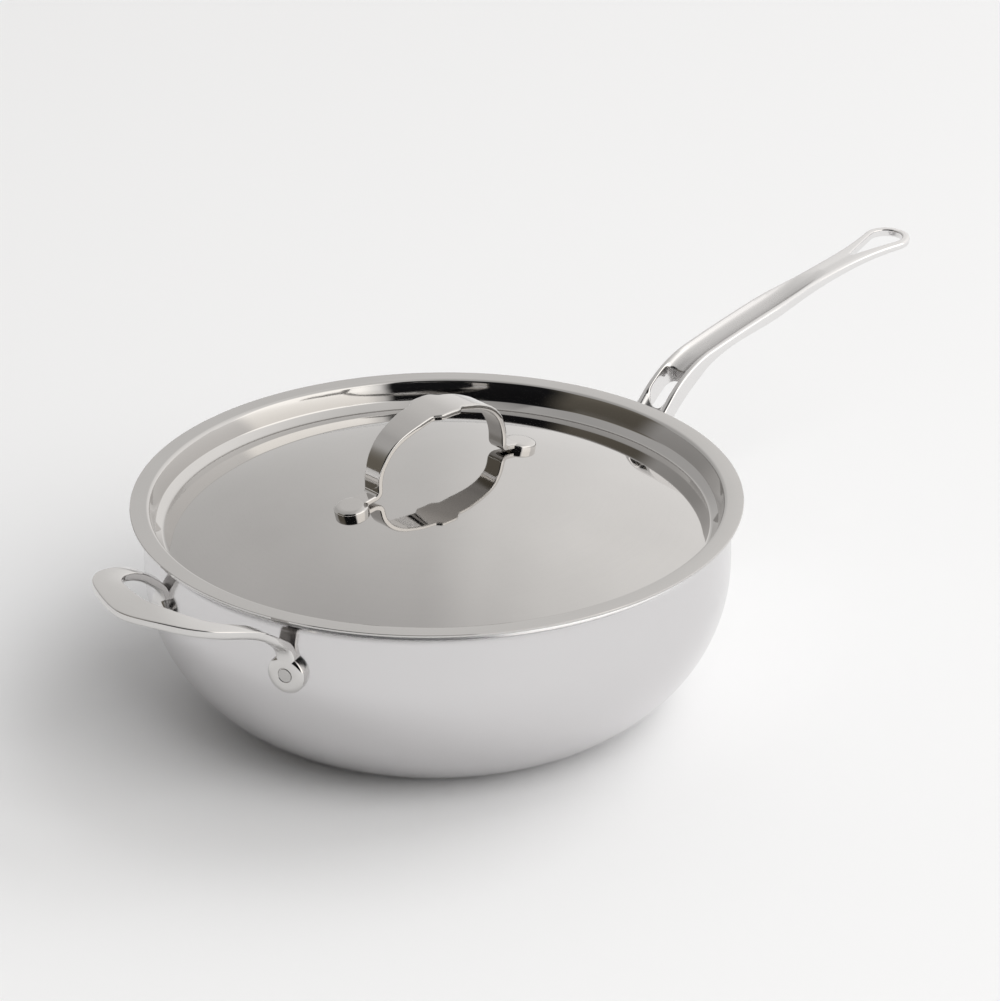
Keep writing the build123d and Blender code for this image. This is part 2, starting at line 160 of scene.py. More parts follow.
def steel_finish():
    """Brush lines, soft smears and fine specks of worked steel, as three noises.

    The lines read the stretched coordinate Along, and the smears and specks
    the plain Place. Lines and smears vary the roughness, and all three the
    colour a little. The height follows the lines alone.
    """
    tree, given, out = group(
        "steel_finish",
        [("Along", "NodeSocketVector", None), ("Place", "NodeSocketVector", None),
         ("Colour", "NodeSocketColor", (0.6, 0.6, 0.6, 1)),
         ("Roughness", "NodeSocketFloat", 0.2), ("Lines", "NodeSocketFloat", 0.3),
         ("Smears", "NodeSocketFloat", 0.3), ("Line height", "NodeSocketFloat", 0.0001)],
        [("Colour", "NodeSocketColor"), ("Roughness", "NodeSocketFloat"),
         ("Height", "NodeSocketFloat")])
    lines = node(tree, "TexNoise", {"noise_dimensions": "3D"}, Vector=given.outputs["Along"],
                 Scale=1.0, Detail=4.0, Roughness=0.65)
    smears = node(tree, "TexNoise", {}, Vector=given.outputs["Place"], Scale=28.0,
                  Detail=3.0, Roughness=0.55)
    specks = node(tree, "TexNoise", {}, Vector=given.outputs["Place"], Scale=900.0,
                  Detail=2.0, Roughness=0.6)
    line_mid = node(tree, "Math", {"operation": "SUBTRACT"}, i0=lines.outputs[0], i1=0.5)
    smear_mid = node(tree, "Math", {"operation": "SUBTRACT"}, i0=smears.outputs[0], i1=0.5)
    speck_mid = node(tree, "Math", {"operation": "SUBTRACT"}, i0=specks.outputs[0], i1=0.5)
    line_part = node(tree, "Math", {"operation": "MULTIPLY"}, i0=line_mid.outputs[0],
                     i1=given.outputs["Lines"])
    smear_part = node(tree, "Math", {"operation": "MULTIPLY"}, i0=smear_mid.outputs[0],
                      i1=given.outputs["Smears"])
    both = node(tree, "Math", {"operation": "ADD"}, i0=line_part.outputs[0],
                i1=smear_part.outputs[0])
    factor = node(tree, "Math", {"operation": "ADD"}, i0=both.outputs[0], i1=1.0)
    rough = node(tree, "Math", {"operation": "MULTIPLY", "use_clamp": True},
                 i0=given.outputs["Roughness"], i1=factor.outputs[0])
    tone = node(tree, "Math", {"operation": "MULTIPLY"}, i0=both.outputs[0], i1=0.12)
    tone_all = node(tree, "Math", {"operation": "MULTIPLY_ADD"}, i0=speck_mid.outputs[0],
                    i1=0.02, i2=tone.outputs[0])
    bright = node(tree, "Math", {"operation": "ADD"}, i0=tone_all.outputs[0], i1=1.0)
    colour = node(tree, "VectorMath", {"operation": "SCALE"}, i0=given.outputs["Colour"],
                  Scale=bright.outputs[0])
    height = node(tree, "Math", {"operation": "MULTIPLY"}, i0=line_mid.outputs[0],
                  i1=given.outputs["Line height"])
    tree.links.new(colour.outputs[0], out.inputs["Colour"])
    tree.links.new(rough.outputs[0], out.inputs["Roughness"])
    tree.links.new(height.outputs[0], out.inputs["Height"])
    return tree


finish_group = steel_finish()


def steel(name, colour, roughness, along, lines, smears, line_height, spread=0.0):
    """Steel whose brush lines run "round" the axis, or read the place times a vector.

    The spread is how much wider the gloss is across lines that run round Z.
    """
    made = bpy.data.materials.new(name)
    made.use_nodes = True
    tree = made.node_tree
    tree.nodes.clear()
    place = node(tree, "TexCoord").outputs["Object"]
    if along == "round":
        parts = node(tree, "SeparateXYZ", {}, Vector=place)
        squares = node(tree, "VectorMath", {"operation": "MULTIPLY"}, i0=place, i1=(1, 1, 0))
        radius = node(tree, "VectorMath", {"operation": "LENGTH"}, i0=squares.outputs[0])
        turn = node(tree, "Math", {"operation": "ARCTAN2"}, i0=parts.outputs["Y"],
                    i1=parts.outputs["X"])
        swing = node(tree, "Math", {"operation": "SINE"}, i0=turn.outputs[0])
        swing_other = node(tree, "Math", {"operation": "COSINE"}, i0=turn.outputs[0])
        level = node(tree, "Math", {"operation": "ADD"}, i0=radius.outputs["Value"],
                     i1=parts.outputs["Z"])
        stretched = node(tree, "CombineXYZ", {}, X=swing.outputs[0], Y=swing_other.outputs[0],
                         Z=level.outputs[0])
        lines_place = node(tree, "VectorMath", {"operation": "MULTIPLY"},
                           i0=stretched.outputs[0], i1=(1.6, 1.6, 2600)).outputs[0]
    else:
        lines_place = node(tree, "VectorMath", {"operation": "MULTIPLY"},
                           i0=place, i1=along).outputs[0]
    worked = tree.nodes.new("ShaderNodeGroup")
    worked.node_tree = finish_group
    tree.links.new(lines_place, worked.inputs["Along"])
    tree.links.new(place, worked.inputs["Place"])
    worked.inputs["Colour"].default_value = (*colour, 1)
    worked.inputs["Roughness"].default_value = roughness
    worked.inputs["Lines"].default_value = lines
    worked.inputs["Smears"].default_value = smears
    worked.inputs["Line height"].default_value = line_height
    shader = node(tree, "BsdfPrincipled", {}, Metallic=1.0, Anisotropic=spread,
                  Anisotropic_Rotation=0.25 if spread else 0.0)
    tree.links.new(worked.outputs["Colour"], shader.inputs["Base Color"])
    tree.links.new(worked.outputs["Roughness"], shader.inputs["Roughness"])
    if line_height:
        bump = node(tree, "Bump", {}, Strength=1.0, Distance=1.0, Height=worked.outputs["Height"])
        tree.links.new(bump.outputs[0], shader.inputs["Normal"])
    out = node(tree, "OutputMaterial")
    tree.links.new(shader.outputs[0], out.inputs["Surface"])
    return made


body_sheets["outer_skin"].data.materials.append(
    steel("brushed_outside", (0.70, 0.69, 0.694), 0.2, "round", 0.3, 0.2, 0.0000012, 0.5))
body_sheets["aluminium_core"].data.materials.append(
    steel("rolled_aluminium", (0.8, 0.8, 0.81), 0.35, "round", 0.3, 0.2, 0.000003))
body_sheets["inner_liner"].data.materials.append(
    steel("brushed_inside", (0.66, 0.66, 0.655), 0.24, "round", 0.4, 0.3, 0.000002, 0.5))

# Long handle: cast stainless steel, hollowed along its top, with a slot at the
# root and a teardrop hole at the end. Its sides are polished, the hollow is
# satin, with painted shade darkening its colour. It is riveted to the wall by a plate with two
# lobes over one.
handle_tip = wall_radius + 0.2104
root_height = 0.0891
root_slope = radians(45)
grip_slope = radians(10.5)
tip_slope = radians(1.5)
root_reach = 0.0168
bend_radius = 0.059
bend_start = (wall_radius + root_reach, root_height + root_reach * tan(root_slope))
bend_centre = (bend_start[0] + bend_radius * sin(root_slope),
               bend_start[1] - bend_radius * cos(root_slope))
bend_end = bend_centre[0] - bend_radius * sin(grip_slope)
grip_radius = (handle_tip - bend_end) / (sin(grip_slope) - sin(tip_slope))
grip_centre = (bend_end + grip_radius * sin(grip_slope),
               bend_centre[1] - (grip_radius - bend_radius) * cos(grip_slope))
eye_radius = 0.0125
eye_centre = handle_tip - eye_radius
eye_hole_radius = 0.0086
eye_point_radius = 0.0013
eye_point = wall_radius + 0.170
slot_centre = wall_radius + 0.0248
slot_length = 0.0182
slot_width = 0.0128
slot_corner = 0.0046
root_corner = 0.0025
root_corner_centre = (0.1437, 0.0075)
taper_start = 0.2402
waist_place = 0.2812
grip_half_width = 0.0089
waist_half_width = 0.0068
thickness_places = (0.140, 0.159, 0.180, bend_end, 0.240, 0.281, handle_tip)
thickness_values = (0.0133, 0.0133, 0.0104, 0.0076, 0.0066, 0.0056, 0.0040)
channel_radius = 0.0076
channel_depth = 0.0039
channel_start = bend_end + 0.045
channel_end = channel_start + 0.052
channel_softness = 0.0005
# half widths and reaches of the hollow's satin and of the shade painted into its colour
blast_and_shade_width = (0.0061, 0.0047)
blast_and_shade_reach = (channel_end + 0.004, channel_end - 0.024)
# how far the edges of the outline, the slot and the eye are rounded
top_edges = (0.0016, 0.0007, 0.0008)
low_edges = (0.0016, 0.0006, 0.0008)


def top_line(x):
    """Height and slope of the handle's top line: straight root, bend, long flat arc."""
    root = root_height + (x - wall_radius) * tan(root_slope)
    bend = bend_centre[1] + np.sqrt(np.maximum(bend_radius ** 2 - (x - bend_centre[0]) ** 2, 0))
    grip = grip_centre[1] + np.sqrt(grip_radius ** 2 - (x - grip_centre[0]) ** 2)
    height = np.where(x < bend_start[0], root, np.where(x < bend_end, bend, grip))
    bend_slope = np.arcsin(np.clip((bend_centre[0] - x) / bend_radius, 0, 1))
    grip_turn = np.arcsin((grip_centre[0] - x) / grip_radius)
    slope = np.where(x < bend_start[0], root_slope, np.where(x < bend_end, bend_slope, grip_turn))
    return height, slope


def eased(t, step, first, last, slope_first, slope_last):
    """A cubic from first to last over a step, with both end slopes, at t from 0 to 1."""
    return ((2 * t ** 3 - 3 * t ** 2 + 1) * first + (t ** 3 - 2 * t ** 2 + t) * step * slope_first
            + (3 * t ** 2 - 2 * t ** 3) * last + (t ** 3 - t ** 2) * step * slope_last)


def smooth_through(x, knots, values):
    """A smooth curve through a few values: cubic pieces with mean slopes, level at the ends."""
    knots, values = np.asarray(knots, float), np.asarray(values, float)
    slopes = np.gradient(values, knots)
    slopes[0] = slopes[-1] = 0
    at = np.clip(np.searchsorted(knots, x) - 1, 0, len(knots) - 2)
    step = knots[at + 1] - knots[at]
    t = np.clip((x - knots[at]) / step, 0, 1)
    return eased(t, step, values[at], values[at + 1], slopes[at], slopes[at + 1])


def handle_surface(place, top, sunk):
    """Points of the handle's upper or lower face over (x, y), sunk into the metal.

    Upper face: the softened lower one of the top line and the hollow, a round
    groove whose floor fades out. Lower face: the top line less the thickness.
    """
    x, y = place[:, 0], place[:, 1]
    height, slope = top_line(x)
    if top:
        fade = np.clip((x - channel_start) / (channel_end - channel_start), 0, 1)
        lift = channel_radius - channel_depth * (1 - fade ** 2)
        inside = np.sqrt(np.maximum(channel_radius ** 2 - y ** 2, 0))
        groove = height + (lift - inside) / np.cos(slope)
        soft = channel_softness
        height = (height + groove - np.sqrt((height - groove) ** 2 + soft ** 2)) / 2 + soft / 6
        height = height - sunk
    else:
        height = height - smooth_through(x, thickness_places, thickness_values) + sunk
    return np.column_stack([x, y, height])


def resampled(loop, spacing):
    """A closed loop of points spread evenly at about the spacing."""
    closed = np.vstack([loop, loop[:1]])
    run = np.concatenate([[0], np.cumsum(np.linalg.norm(np.diff(closed, axis=0), axis=1))])
    count = max(12, int(round(run[-1] / spacing)))
    at = np.arange(count) * run[-1] / count
    return np.column_stack([np.interp(at, run, closed[:, 0]), np.interp(at, run, closed[:, 1])])


def inwards(loop, reach):
    """The loop moved to its left by the reach: its own normals, from its neighbours."""
    along = np.roll(loop, -1, axis=0) - np.roll(loop, 1, axis=0)
    along /= np.linalg.norm(along, axis=1)[:, None]
    return loop + reach * np.column_stack([-along[:, 1], along[:, 0]])


def within(points, loop):
    """Which points lie inside a closed loop, by counting the crossings to one side."""
    a, b = loop, np.roll(loop, -1, axis=0)
    px, py = points[:, :1], points[:, 1:]
    crosses = (a[:, 1] > py) != (b[:, 1] > py)
    rise = np.where(b[:, 1] == a[:, 1], 1e-12, b[:, 1] - a[:, 1])
    return (crosses & (px < a[:, 0] + (py - a[:, 1]) * (b[:, 0] - a[:, 0]) / rise)).sum(1) % 2 == 1


def slab(name, loops, top_edges, low_edges, surface, spacing, sharp=32):
    """A solid between two faces over a flat outline with holes.

    The first loop runs anticlockwise and the holes clockwise, so the metal is
    on every loop's left. Each rim is a quarter round on the upper face, a
    side, and a quarter round on the lower one, carried along the loop. The
    faces are filled with one triangulation of the loops and of a square grid,
    without its points that lie within about half a space of a rim.
    """
    steps = 7
    angle = np.linspace(0, pi / 2, steps)
    points, faces, inner, start = [], [], [], 0
    ends = {True: [], False: []}
    for loop, top_edge, low_edge in zip(loops, top_edges, low_edges):
        count = len(loop)
        within_edges = inwards(loop, max(top_edge, low_edge) * 1.25)
        rings = [surface(within_edges, True, 0 * loop[:, 0])]
        rings += [surface(inwards(loop, top_edge * (1 - sin(a))), True,
                          top_edge * (1 - cos(a)) + 0 * loop[:, 0]) for a in angle]
        rings += [surface(inwards(loop, low_edge * (1 - sin(a))), False,
                          low_edge * (1 - cos(a)) + 0 * loop[:, 0]) for a in angle[::-1]]
        rings += [surface(within_edges, False, 0 * loop[:, 0])]
        faces += (grid_faces(len(rings), count, False, True) + start).tolist()
        points += rings
        ends[True].append(start + np.arange(count))
        ends[False].append(start + (len(rings) - 1) * count + np.arange(count))
        inner.append(within_edges)
        start += len(rings) * count
    low, high = np.floor(inner[0].min(0) / spacing), np.ceil(inner[0].max(0) / spacing)
    grid = np.stack(np.meshgrid(np.arange(low[0], high[0]) * spacing,
                                np.arange(low[1], high[1]) * spacing), -1).reshape(-1, 2)
    keep = within(grid, inner[0])
    for hole in inner[1:]:
        keep &= ~within(grid, hole)
    rim = np.vstack(inner)
    batch = 4000
    for part in range(0, len(grid), batch):
        gap = np.linalg.norm(grid[part:part + batch, None] - rim[None], axis=-1).min(1)
        keep[part:part + batch] &= gap > 0.55 * spacing
    grid = grid[keep]
    flat = np.vstack([rim, grid])
    edges, at = [], 0
    for loop in inner:
        ring = at + np.arange(len(loop))
        edges += np.column_stack([ring, np.roll(ring, -1)]).tolist()
        at += len(loop)
    made = delaunay_2d_cdt([Vector(p) for p in flat.tolist()], edges, [], 0, 1e-9)
    source = np.array([origin[0] for origin in made[3]])
    triangles = source[np.array([list(face) for face in made[2]])]
    centre = flat[triangles].mean(1)
    keep = within(centre, inner[0])
    for hole in inner[1:]:
        keep &= ~within(centre, hole)
    triangles = triangles[keep]
    for top in (True, False):
        numbers = np.concatenate(ends[top] + [start + np.arange(len(grid))])
        points.append(surface(grid, top, 0 * grid[:, 0]))
        faces += numbers[triangles].tolist()
        start += len(grid)
    return solid(name, np.vstack(points), faces, sharp)


def handle_outline():
    """Half of the outline from above, mirrored: root, taper, waist and the round eye."""
    meet = radians(105)
    eye_meet = (eye_centre + eye_radius * cos(meet), eye_radius * sin(meet))
    end_slope = -cos(meet) / sin(meet)
    half = []
    for start, stop, first, last, slope_first, slope_last in (
            (taper_start, waist_place, grip_half_width, waist_half_width, 0, 0),
            (waist_place, eye_meet[0], waist_half_width, eye_meet[1], 0, end_slope)):
        t = np.linspace(0, 1, 40)
        step = stop - start
        width = eased(t, step, first, last, slope_first, slope_last)
        half.append(np.column_stack([start + t * step, width]))
    upper = np.vstack([arc(root_corner_centre, root_corner, pi, -pi / 2, 9),
                       [(bend_end, grip_half_width)], half[0], half[1][1:],
                       arc((eye_centre, 0), eye_radius, meet, -meet, 40)[1:]])
    lower = upper[-2::-1] * (1, -1)
    return resampled(np.vstack([upper, lower])[::-1], 0.0006)


def rounded_box(x, length, width, corner):
    """A box on the X axis with round corners, clockwise."""
    parts = [arc((x + sx * (length / 2 - corner), sy * (width / 2 - corner)), corner,
                 start, -pi / 2, 12)
             for sx, sy, start in ((1, 1, pi / 2), (1, -1, 0), (-1, -1, -pi / 2), (-1, 1, pi))]
    return np.vstack(parts)


def teardrop(near, near_radius, far, far_radius):
    """The hull of two circles on the X axis, clockwise."""
    lean = asin((far_radius - near_radius) / (far - near))
    return np.vstack([arc((far, 0), far_radius, pi / 2 + lean, -pi - 2 * lean, 50),
                      arc((near, 0), near_radius, -pi / 2 - lean, -pi + 2 * lean, 16)])


long_handle = slab(
    "long_handle_casting",
    [handle_outline(),
     resampled(rounded_box(slot_centre, slot_length, slot_width, slot_corner), 0.0005),
     resampled(teardrop(eye_point, eye_point_radius, eye_centre, eye_hole_radius), 0.0005)],
    top_edges, low_edges, handle_surface, 0.0007)
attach(long_handle, "pan")
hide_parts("long_handle")
cast_steel, hollow_steel = (
    steel(name, (0.80, 0.79, 0.785), 0.13, (900, 900, 900), 0.3, 0.5, 0.000002)
    for name in ("cast_polished", "cast_with_hollow"))


def smooth_step(tree, value, start, end):
    """A smooth step of a value, from 0 at the start to 1 at the end."""
    return node(tree, "MapRange", {"interpolation_type": "SMOOTHSTEP"}, Value=value,
                From_Min=start, From_Max=end).outputs[0]


def blast_and_shade_hollow(made):
    """Bead-blasts the hollow and paints shade into it: rougher, and darker in colour as painted
    shade, where |y| is under its half width.

    The mask is the product of two smooth steps, of |y| and of x, and fades out
    where the hollow does.
    """
    tree = made.node_tree
    shader = tree.nodes["Principled BSDF"]
    parts = node(tree, "SeparateXYZ", {}, Vector=node(tree, "TexCoord").outputs["Object"])
    off = node(tree, "Math", {"operation": "ABSOLUTE"}, i0=parts.outputs["Y"])
    mask = node(tree, "Math", {"operation": "MULTIPLY"},
                i0=smooth_step(tree, off.outputs[0], *blast_and_shade_width),
                i1=smooth_step(tree, parts.outputs["X"], *blast_and_shade_reach)).outputs[0]
    # painted shade: the colour in the hollow is scaled down by up to 0.22
    tone = node(tree, "Math", {"operation": "MULTIPLY_ADD"}, i0=mask, i1=-0.22, i2=1.0)
    colour = node(tree, "VectorMath", {"operation": "SCALE"},
                  i0=shader.inputs["Base Color"].links[0].from_socket, Scale=tone.outputs[0])
    rough = node(tree, "Math", {"operation": "MULTIPLY_ADD"}, i0=mask, i1=0.14,
                 i2=shader.inputs["Roughness"].links[0].from_socket)
    tree.links.new(colour.outputs[0], shader.inputs["Base Color"])
    tree.links.new(rough.outputs[0], shader.inputs["Roughness"])


blast_and_shade_hollow(hollow_steel)
long_handle.data.materials.append(hollow_steel)

plate_thickness = 0.0042
plate_bite = 0.0002
plate_edge = 0.0014
plate_back_edge = 0.0001
plate_lobe = 0.009
plate_spread = 0.01587
plate_upper = 0.079
plate_lower = 0.0605


def wall_at(height):
    """Radius of the wall's outer face at a height, down to its sweep."""
    reach = np.sqrt(np.maximum(corner_radius ** 2 - (wall_foot - height) ** 2, 0))
    return np.where(height > wall_foot, wall_radius, sweep_centre + reach)


def plate_surface(place, top, sunk):
    """The plate bent round the wall: (arc length, height) to a place on a cylinder."""
    turn = place[:, 0] / wall_radius
    back = wall_at(place[:, 1]) - plate_bite
    out = wall_radius + plate_thickness - sunk if top else back + sunk
    return np.column_stack([out * np.cos(turn), out * np.sin(turn), place[:, 1]])


def plate_outline():
    """The hull of the three lobes, anticlockwise."""
    lean = atan2(plate_spread, plate_upper - plate_lower)
    right = np.vstack([arc((0, plate_lower), plate_lobe, -pi / 2, pi / 2 - lean, 20),
                       arc((plate_spread, plate_upper), plate_lobe, -lean, pi / 2 + lean, 30)])
    return resampled(np.vstack([right, right[::-1] * (-1, 1)]), 0.0006)


root_plate = slab("long_handle_plate", [plate_outline()], (plate_edge,), (plate_back_edge,),
                  plate_surface, 0.0012)
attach(root_plate, "pan")
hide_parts("long_handle")
root_plate.data.materials.append(cast_steel)

# Helper handle: one casting, a loop with a broad middle that narrows to two
# necks, each on a round pad. The necks leave the pads upright and bend over.
helper_turn = radians(2.1)
loop_thickness = 0.0043
loop_top_edge = 0.0007
loop_low_edge = 0.0017
loop_half_spread = 0.0436
loop_reach = 0.0556
loop_top = 0.1126
loop_arm_width = 0.0093
loop_middle_width = 0.0164
pad_height = 0.0749
pad_angle = radians(18)
pad_radius = 0.00955
pad_thickness = 0.0041
pad_bite = 0.0013
pad_edge = 0.0017
pad_socket_radius = 0.0036
pad_socket_depth = 0.0007
neck_width = 0.0098
neck_foot = pad_height + 0.0025
neck_height = pad_height + 0.0076
neck_bite = 0.0004
neck_radius = wall_radius + loop_thickness / 2 - neck_bite
loop_middle = wall_radius + loop_reach - loop_middle_width / 2
loop_rise = loop_top - loop_thickness / 2 - neck_height
neck = (neck_radius * cos(pad_angle), neck_radius * sin(pad_angle))
# shares of the way out, of the half spread and of the rise, the face's slope
# and its turn to the side in degrees, and the share of the widening
loop_stations = np.array([
    (0.012, 1.000, 0.165, 68.0, 18.0, 0.00),
    (0.058, 1.000, 0.290, 50.0, 16.0, 0.00),
    (0.155, 0.996, 0.440, 38.0, 6.0, 0.00),
    (0.295, 0.985, 0.630, 28.0, 0.0, 0.02),
    (0.490, 0.955, 0.785, 17.0, 0.0, 0.14),
    (0.665, 0.875, 0.876, 13.0, 0.0, 0.44),
    (0.800, 0.725, 0.935, 10.0, 0.0, 0.68),
    (0.905, 0.465, 0.978, 6.0, 0.0, 0.86),
    (0.972, 0.215, 0.997, 2.0, 0.0, 0.97),
    (1.000, 0.000, 1.000, 0.0, 0.0, 1.00)])


def smooth_path(points, spacing):
    """A natural cubic spline through points, by chord length, at an even spacing."""
    run = np.concatenate([[0], np.cumsum(np.linalg.norm(np.diff(points[:, :3], axis=0), axis=1))])
    gaps = np.diff(run)
    count = len(points)
    system = np.eye(count)
    right = np.zeros_like(points)
    for i in range(1, count - 1):
        system[i, i - 1:i + 2] = gaps[i - 1], 2 * (gaps[i - 1] + gaps[i]), gaps[i]
        right[i] = 6 * ((points[i + 1] - points[i]) / gaps[i]
                        - (points[i] - points[i - 1]) / gaps[i - 1])
    bends = np.linalg.solve(system, right)
    at = np.linspace(0, run[-1], int(run[-1] / spacing))
    k = np.clip(np.searchsorted(run, at) - 1, 0, count - 2)
    step = gaps[k][:, None]
    a, b = (run[k + 1] - at)[:, None], (at - run[k])[:, None]
    return (bends[k] * a ** 3 / (6 * step) + bends[k + 1] * b ** 3 / (6 * step)
            + (points[k] / step - bends[k] * step / 6) * a
            + (points[k + 1] / step - bends[k + 1] * step / 6) * b)


def loop_rows():
    """Middle point, face normal and width at every station, from pad to pad.

    In the loop's own frame: X away from the pan's axis, Y to the side. The
    second half is the first one mirrored.
    """
    out, spread, rise, slope, side, widening = loop_stations.T
    slope, side = np.radians(slope), np.radians(side)
    middle = np.column_stack([neck[0] + out * (loop_middle - neck[0]), spread * loop_half_spread,
                              neck_height + rise * loop_rise])
    face = np.column_stack([-np.sin(slope) * np.cos(side), -np.sin(slope) * np.sin(side),
                            np.cos(slope)])
    width = loop_arm_width + widening * (loop_middle_width - loop_arm_width)
    start = np.array([(*neck, neck_foot), (*neck, neck_height)])
    upright = np.array([[-cos(pad_angle), -sin(pad_angle), 0]] * 2)
    rows = np.column_stack([np.vstack([start, middle]), np.vstack([upright, face]),
                            np.concatenate([[neck_width] * 2, width])])
    other = rows[-2::-1] * (1, -1, 1, 1, -1, 1, 1)
    return np.vstack([rows, other])


def bar_section(width, thickness, top_edge, low_edge):
    """Places across a flat bar's section and their heights, with round corners."""
    corners = []
    for sx, sy, edge, start in ((1, 1, top_edge, 0), (-1, 1, top_edge, pi / 2),
                                (-1, -1, low_edge, pi), (1, -1, low_edge, 3 * pi / 2)):
        turn = start + np.linspace(0, pi / 2, 7)
        corners.append(np.stack([sx * (width[:, None] / 2 - edge) + edge * np.cos(turn),
                                 (sy * (thickness / 2 - edge) + edge * np.sin(turn))
                                 + 0 * width[:, None]], -1))
    return np.concatenate(corners, axis=1)


def loop_mesh():
    """The section (u, v) carried along the loop: place = middle + u * across + v * face.

    Both ends are closed, and X is mirrored, to the side away from the long handle.
    """
    rows = smooth_path(loop_rows(), 0.0008)
    middle, face, width = rows[:, :3], rows[:, 3:6], rows[:, 6]
    along = np.gradient(middle, axis=0)
    along /= np.linalg.norm(along, axis=1)[:, None]
    face = face - (face * along).sum(1)[:, None] * along
    face /= np.linalg.norm(face, axis=1)[:, None]
    across = np.cross(along, face)
    section = bar_section(width, loop_thickness, loop_top_edge, loop_low_edge)
    points = middle[:, None] + section[..., :1] * across[:, None] + section[..., 1:] * face[:, None]
    faces = grid_faces(*points.shape[:2], False, True).tolist()
    last = (len(points) - 1) * points.shape[1]
    faces += [list(range(points.shape[1])), list(range(last, last + points.shape[1]))]
    return points * (-1, 1, 1), faces


def turn_helper(points):
    """Turns points about Z by the helper's small turn, clockwise from above."""
    x, y = points[..., 0], points[..., 1]
    return np.stack([x * cos(helper_turn) + y * sin(helper_turn),
                     -x * sin(helper_turn) + y * cos(helper_turn), points[..., 2]], -1)


loop_points, loop_faces = loop_mesh()
helper_loop = solid("helper_loop", turn_helper(loop_points), loop_faces, 40)
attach(helper_loop, "pan")
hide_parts("helper_handle")
loop_steel = steel("helper_polished", (0.66, 0.648, 0.636), 0.08, (900, 900, 900),
                   0.3, 0.5, 0.000001)
helper_loop.data.materials.append(loop_steel)


def outward_disc(name, line, angle, height, around=96, sharp=32):
    """A section line of (radius, distance from the pan's axis) turned about a level spoke."""
    turn = np.arange(around) * 2 * pi / around
    side = line[:, :1] * np.cos(turn)
    up = line[:, :1] * np.sin(turn) + height
    out = np.repeat(line[:, 1:], around, axis=1)
    points = np.stack([out * cos(angle) - side * sin(angle),
                       out * sin(angle) + side * cos(angle), up], -1)
    return solid(name, points, grid_faces(len(line), around, False, True).tolist(), sharp)


def disc_line(radius, back, front, edge, sunk_radius=0.0, sunk=0.0):
    """Half section of a disc from its back's middle to its front's.

    Its front edge is a quarter of an ellipse, twice as long as it is deep, and
    the middle may be sunk, as round a rivet.
    """
    chamfer, lip = 0.0001, 0.0002
    turn = np.linspace(0, pi / 2, 13)
    reach = min(2 * edge, radius - sunk_radius - 2 * lip)
    round_edge = np.column_stack([radius - reach + reach * np.cos(turn),
                                  front - edge + edge * np.sin(turn)])
    middle = [(0, front)]
    if sunk:
        middle = [(sunk_radius + lip, front), (sunk_radius, front - lip),
                  (sunk_radius, front - sunk), (0, front - sunk)]
    return np.vstack([[(0, back), (radius - chamfer, back), (radius, back + chamfer)],
                      round_edge, middle])


helper_axis = pi - helper_turn
for side, sign in (("left", -1), ("right", 1)):
    pad = outward_disc("helper_pad_" + side,
                       disc_line(pad_radius, wall_radius - pad_bite, wall_radius + pad_thickness,
                                 pad_edge, pad_socket_radius, pad_socket_depth),
                       helper_axis + sign * pad_angle, pad_height)
    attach(pad, "pan")
    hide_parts("helper_handle")
    pad.data.materials.append(loop_steel)

# Rivets: stainless steel, closed from outside and faced flush with the
# castings, with a low round head against the inside of the pan.
rivet_radius = 0.00335
rivet_edge = 0.0002
rivet_proud = 0.00015
head_radius = 0.0056
head_height = 0.0011
head_edge = 0.0003
head_seat = wall_radius - clad_thickness + 0.0004
head_top = wall_radius - clad_thickness - head_height
plate_rivet_turn = radians(6.4)
rivet_steel = steel("rivet_face", (0.52, 0.51, 0.5), 0.24, (1500, 1500, 1500), 0.5, 0.4, 0.000002)
for rivet, angle, height, face in (
        ("handle_rivet_left", plate_rivet_turn, plate_upper, plate_thickness),
        ("handle_rivet_right", -plate_rivet_turn, plate_upper, plate_thickness),
        ("handle_rivet_lower", 0, plate_lower, plate_thickness),
        ("helper_rivet_left", helper_axis - pad_angle, pad_height, pad_thickness),
        ("helper_rivet_right", helper_axis + pad_angle, pad_height, pad_thickness)):
    head = [(0, head_top), (head_radius - head_edge, head_top), (head_radius, head_top + head_edge),
            (head_radius, head_seat), (rivet_radius, head_seat + 0.0001)]
    shank = disc_line(rivet_radius, head_seat + 0.0002, wall_radius + face + rivet_proud,
                      rivet_edge)[2:]
    pin = outward_disc(rivet + "_pin", np.vstack([head, shank]), angle, height, 64)
    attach(pin, "pan")
    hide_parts(rivet)
    pin.data.materials.append(rivet_steel)

# Lid: one sheet of stainless steel, pressed and polished like a mirror. From
# the edge: a flange on the rim, a steep wall, a ledge that falls to a valley,
# and a shallow dome, which mirrors the wall round its foot.
lid_radius = 0.148
lid_sheet = 0.0012
flange_top = rim_height + lid_sheet
dome_curve = 0.343
dome_rise = 0.0134
dome_centre = flange_top + dome_rise - dome_curve
valley_radius = 0.1324
flange_inner = 0.1387
ledge_outer = 0.1362
ledge_depth = 0.0098
lid_fillets = (0.0019, 0.0017, 0.0016)
lid_edge_round = 0.00025


def bent(corners, radii, steps=9):
    """A line through corners, each inner one rounded by its radius."""
    corners = np.asarray(corners, float)
    parts = [corners[:1]]
    for before, corner, after, radius in zip(corners, corners[1:], corners[2:], radii):
        back = (before - corner) / np.linalg.norm(before - corner)
        ahead = (after - corner) / np.linalg.norm(after - corner)
        half = np.arccos(np.clip(back @ ahead, -1, 1)) / 2
        middle = corner + (back + ahead) / np.linalg.norm(back + ahead) * radius / sin(half)
        start, stop = corner + back * radius / tan(half), corner + ahead * radius / tan(half)
        first = atan2(*(start - middle)[::-1])
        turn = (atan2(*(stop - middle)[::-1]) - first + pi) % (2 * pi) - pi
        parts.append(arc(middle, radius, first, turn, steps))
    return np.vstack(parts + [corners[-1:]])


